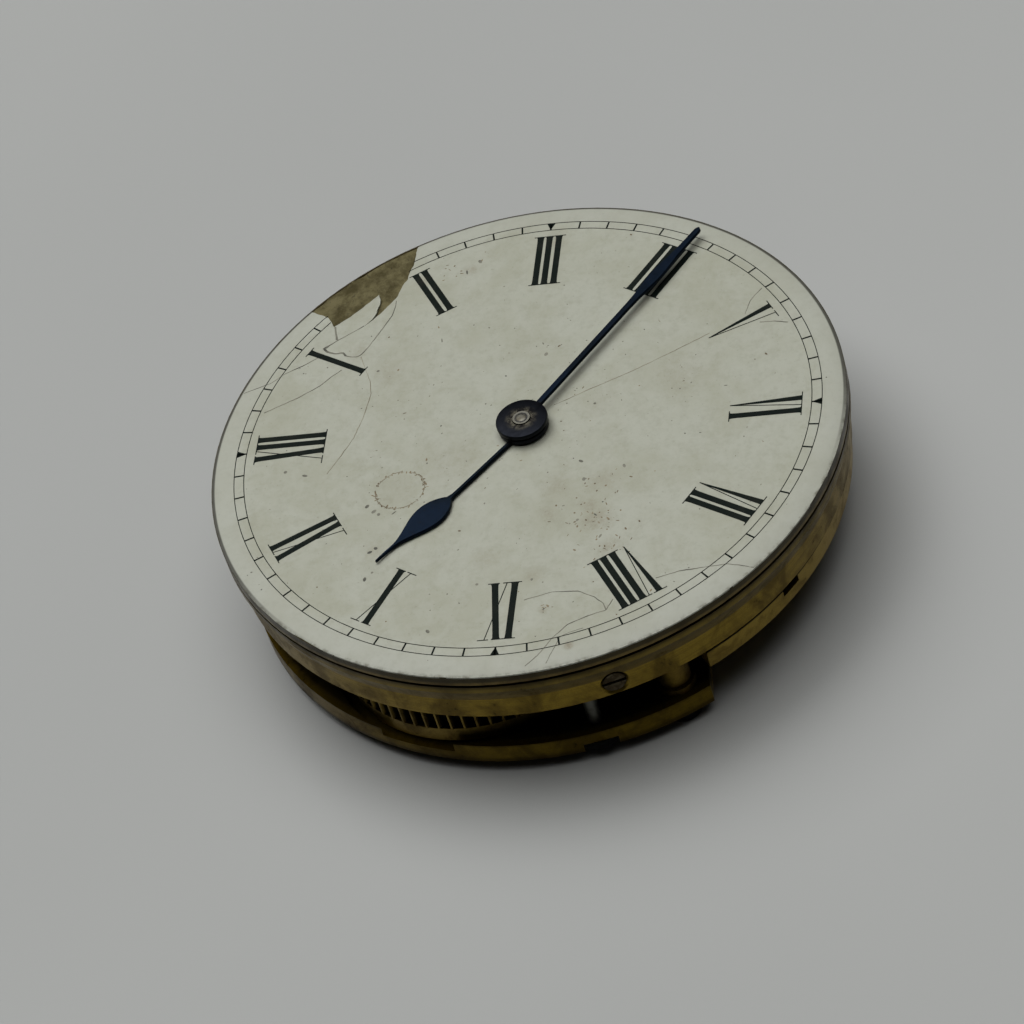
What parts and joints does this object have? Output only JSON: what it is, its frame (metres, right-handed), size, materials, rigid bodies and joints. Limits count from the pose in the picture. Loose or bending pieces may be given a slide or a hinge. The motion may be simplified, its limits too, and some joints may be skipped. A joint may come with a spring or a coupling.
{
  "type": "pocket watch movement",
  "caption": "Key-wound pocket watch movement with an enamel dial, blued hands, brass plates, going train, lever escapement and sprung balance.",
  "frame": {"origin": "on the centre arbor's axis, in the plane of the pillar screws' heads on which the movement stands", "axes": "+Z along the centre arbor towards the dial, +Y towards 12 o'clock, +X towards 3 o'clock"},
  "size_m": [0.04, 0.04, 0.0106],
  "materials": {
    "gilt_brass": "dull gilt brass with dark tarnish",
    "wheel_brass": "smoothed brass",
    "polished_steel": "polished steel",
    "blued_steel": "blued steel",
    "ruby": "polished ruby",
    "dial_copper": "dull copper, brown with age",
    "white_enamel": "fired white enamel, crazed and stained"
  },
  "bodies": {
    "movement_frame": {"pillar_plate": "gilt_brass", "three_quarter_plate": "gilt_brass", "pillars": "gilt_brass", "pillar_screws": "blued_steel", "balance_cock": "gilt_brass", "cock_screw": "blued_steel", "cock_steady_pins": "gilt_brass", "cock_jewel": "ruby", "endstone_cap": "polished_steel", "endstone": "ruby", "endstone_screws": "blued_steel", "hairspring_stud": "polished_steel", "pallet_cock": "gilt_brass", "pallet_cock_screw": "blued_steel", "pallet_cock_jewel": "ruby", "banking_pins": "gilt_brass", "pillar_plate_jewels": "ruby", "back_plate_jewels": "ruby", "centre_bushes": "wheel_brass", "dial_base": "dial_copper", "dial_enamel": "white_enamel", "dial_screws": "polished_steel", "case_screws": "polished_steel", "minute_wheel_post": "polished_steel", "click_screw": "blued_steel", "click_spring": "polished_steel", "click_spring_screw": "blued_steel", "hairspring": "blued_steel"},
    "centre": {"centre_arbor": "polished_steel", "centre_wheel": "wheel_brass", "cannon_pinion": "polished_steel", "minute_hand": "blued_steel"},
    "hour": {"hour_wheel": "wheel_brass", "hour_hand": "blued_steel"},
    "minute_work": {"minute_wheel": "wheel_brass", "minute_pinion": "polished_steel"},
    "barrel": {"barrel_drum": "wheel_brass", "barrel_cover": "wheel_brass", "mainspring": "blued_steel"},
    "winding_arbor": {"barrel_arbor": "polished_steel", "ratchet_wheel": "polished_steel"},
    "third": {"third_arbor": "polished_steel", "third_wheel": "wheel_brass"},
    "fourth": {"fourth_arbor": "polished_steel", "fourth_wheel": "wheel_brass"},
    "escape": {"escape_arbor": "polished_steel", "escape_wheel": "wheel_brass"},
    "pallets": {"lever": "polished_steel", "pallet_stones": "ruby", "pallet_arbor": "polished_steel"},
    "balance": {"balance_wheel": "wheel_brass", "balance_screws": "wheel_brass", "balance_staff": "polished_steel", "roller": "polished_steel", "impulse_pin": "ruby", "hairspring_collet": "wheel_brass"},
    "winding_click": {"click": "polished_steel"},
    "index": {"regulator": "polished_steel"}
  },
  "joints": [
    {"name": "centre_turn", "type": "hinge", "parent": "movement_frame", "child": "centre", "pos_m": [0, 0, 0.005], "axis": [0, 0, -1], "continuous": true},
    {"name": "hour_turn", "type": "hinge", "parent": "movement_frame", "child": "hour", "pos_m": [0, 0, 0.009], "axis": [0, 0, -1], "continuous": true},
    {"name": "minute_work_turn", "type": "hinge", "parent": "movement_frame", "child": "minute_work", "pos_m": [0, -0.0036, 0.008], "axis": [0, 0, -1], "continuous": true},
    {"name": "barrel_turn", "type": "hinge", "parent": "movement_frame", "child": "barrel", "pos_m": [-0.0094, 0.00342, 0.004], "axis": [0, 0, -1], "continuous": true},
    {"name": "third_turn", "type": "hinge", "parent": "movement_frame", "child": "third", "pos_m": [0.00518, 0.005, 0.004], "axis": [0, 0, -1], "continuous": true},
    {"name": "fourth_turn", "type": "hinge", "parent": "movement_frame", "child": "fourth", "pos_m": [0.00739, -0.00034, 0.004], "axis": [0, 0, -1], "continuous": true},
    {"name": "escape_turn", "type": "hinge", "parent": "movement_frame", "child": "escape", "pos_m": [0.00568, -0.00474, 0.004], "axis": [0, 0, -1], "continuous": true},
    {"name": "lever_swing", "type": "hinge", "parent": "movement_frame", "child": "pallets", "pos_m": [0.00282, -0.00658, 0.0034], "axis": [0, 0, -1], "range_deg": [-5, 5]},
    {"name": "balance_swing", "type": "hinge", "parent": "movement_frame", "child": "balance", "pos_m": [-0.00167, -0.00945, 0.0018], "axis": [0, 0, -1], "range_deg": [-270, 270], "stiffness_Nm_per_rad": 0.0000006, "deforming": ["hairspring"]},
    {"name": "winding_turn", "type": "hinge", "parent": "movement_frame", "child": "winding_arbor", "pos_m": [-0.0094, 0.00342, 0.004], "axis": [0, 0, 1], "range_deg": [0, 1440], "deforming": ["mainspring"]},
    {"name": "click_lift", "type": "hinge", "parent": "movement_frame", "child": "winding_click", "pos_m": [-0.00789, 0.00755, 0.0012], "axis": [0, 0, -1], "range_deg": [0, 12], "stiffness_Nm_per_rad": 0.00001},
    {"name": "regulator_swing", "type": "hinge", "parent": "movement_frame", "child": "index", "pos_m": [-0.00167, -0.00945, 0.0002], "axis": [0, 0, -1], "range_deg": [-20, 20]}
  ],
  "couplings": [
    {"joint": "hour_turn", "follows": "centre_turn", "ratio": 0.083333},
    {"joint": "minute_work_turn", "follows": "centre_turn", "ratio": -0.33333},
    {"joint": "barrel_turn", "follows": "centre_turn", "ratio": -0.14286},
    {"joint": "third_turn", "follows": "centre_turn", "ratio": -8},
    {"joint": "fourth_turn", "follows": "centre_turn", "ratio": 60},
    {"joint": "escape_turn", "follows": "centre_turn", "ratio": -480}
  ]
}
